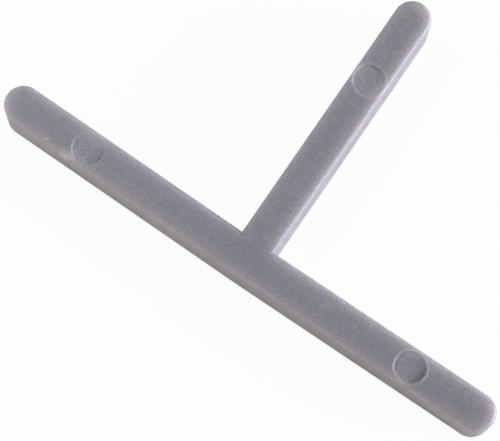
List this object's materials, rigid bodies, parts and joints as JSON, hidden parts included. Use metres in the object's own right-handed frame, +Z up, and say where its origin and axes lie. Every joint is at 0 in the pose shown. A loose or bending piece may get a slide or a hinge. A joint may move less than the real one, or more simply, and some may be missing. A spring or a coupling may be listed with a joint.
{
  "type": "tile spacer",
  "caption": "T-shaped plastic tile spacer with round leg ends, a flat underside and rolled upper edges; its leg width sets a 3 mm joint.",
  "frame": {"origin": "on the flat underside, where the bar's and the stem's middle lines cross", "axes": "+Z up from the underside to the marked top face, +X along the bar, +Y along the stem to its tip"},
  "size_m": [0.0452, 0.0259, 0.005],
  "materials": {
    "spacer_plastic": "soft grey moulded plastic, satin with a fine grain"
  },
  "bodies": {
    "root": {"tile_spacer": "spacer_plastic"}
  },
  "joints": []
}
